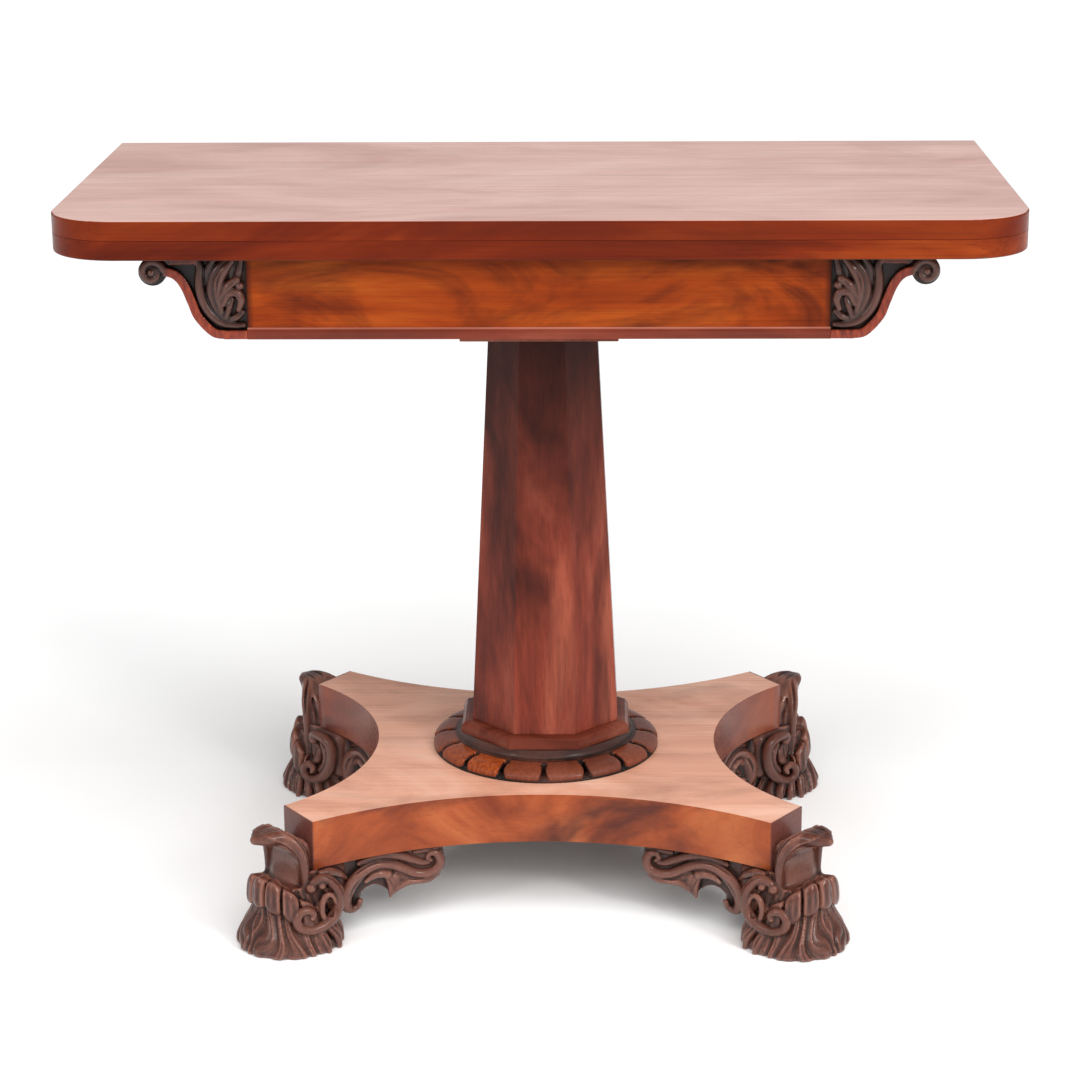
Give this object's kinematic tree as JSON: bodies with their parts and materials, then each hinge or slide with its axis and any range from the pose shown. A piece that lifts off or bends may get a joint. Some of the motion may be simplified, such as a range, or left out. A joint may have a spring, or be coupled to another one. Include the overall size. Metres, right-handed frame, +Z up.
{
  "type": "tea table",
  "caption": "Fold-over tea table whose rounded top turns and unfolds above a frieze with carved scroll brackets, on a tapered octagonal column and a hollow-sided platform with paw feet.",
  "frame": {"origin": "on the floor under the column's axis, at the middle of the object's box", "axes": "+X to the right along the top's long side, +Y to the hinged back edge, +Z up"},
  "size_m": [0.914, 0.526, 0.728],
  "materials": {
    "mahogany_top": "french polish, faded on top",
    "mahogany_frieze": "french polish",
    "mahogany_column": "french polish",
    "mahogany_platform": "french polish",
    "carved_mahogany": "waxed",
    "carved_bracket": "waxed",
    "secondary_wood": "bare",
    "hinge_brass": "dull",
    "pivot_iron": "dull"
  },
  "bodies": {
    "base": {"platform": "mahogany_platform", "column": "mahogany_column", "octagon_moulding": "mahogany_column", "foot_back_right": "carved_mahogany", "foot_back_left": "carved_mahogany", "foot_front_right": "carved_mahogany", "foot_front_left": "carved_mahogany", "wing_back_right": "carved_mahogany", "wing_back_left": "carved_mahogany", "wing_front_right": "carved_mahogany", "wing_front_left": "carved_mahogany", "wing_right_back": "carved_mahogany", "wing_right_front": "carved_mahogany", "wing_left_back": "carved_mahogany", "wing_left_front": "carved_mahogany", "carved_collar": "carved_mahogany", "bracket_right": "carved_bracket", "bracket_left": "carved_bracket", "frieze_front": "mahogany_frieze", "frieze_back": "mahogany_frieze", "frieze_end_left": "mahogany_frieze", "frieze_end_right": "mahogany_frieze", "frieze_bead": "mahogany_frieze", "column_bearer": "secondary_wood", "pivot_bearer": "secondary_wood", "well_floor_left": "secondary_wood", "well_floor_right": "secondary_wood", "corner_blocks": "secondary_wood", "stop_block_closed": "secondary_wood", "stop_block_open": "secondary_wood"},
    "swivel_top": {"lower_leaf": "mahogany_top", "hinge_left_lower_plate": "hinge_brass", "hinge_right_lower_plate": "hinge_brass", "hinge_left_pin": "hinge_brass", "hinge_right_pin": "hinge_brass", "pivot_bolt": "pivot_iron", "pivot_plate": "pivot_iron", "pivot_washer": "pivot_iron", "pivot_nut": "pivot_iron", "stop_peg": "pivot_iron"},
    "fold_leaf": {"upper_leaf": "mahogany_top", "hinge_left_upper_plate": "hinge_brass", "hinge_right_upper_plate": "hinge_brass"}
  },
  "joints": [
    {"name": "top_swivel", "type": "hinge", "parent": "base", "child": "swivel_top", "pos_m": [0.1145, 0.1145, 0.691], "axis": [0, 0, 1], "range_deg": [0, 90]},
    {"name": "leaf_fold", "type": "hinge", "parent": "swivel_top", "child": "fold_leaf", "pos_m": [0, 0.229, 0.7095], "axis": [-1, 0, 0], "range_deg": [0, 180]}
  ]
}
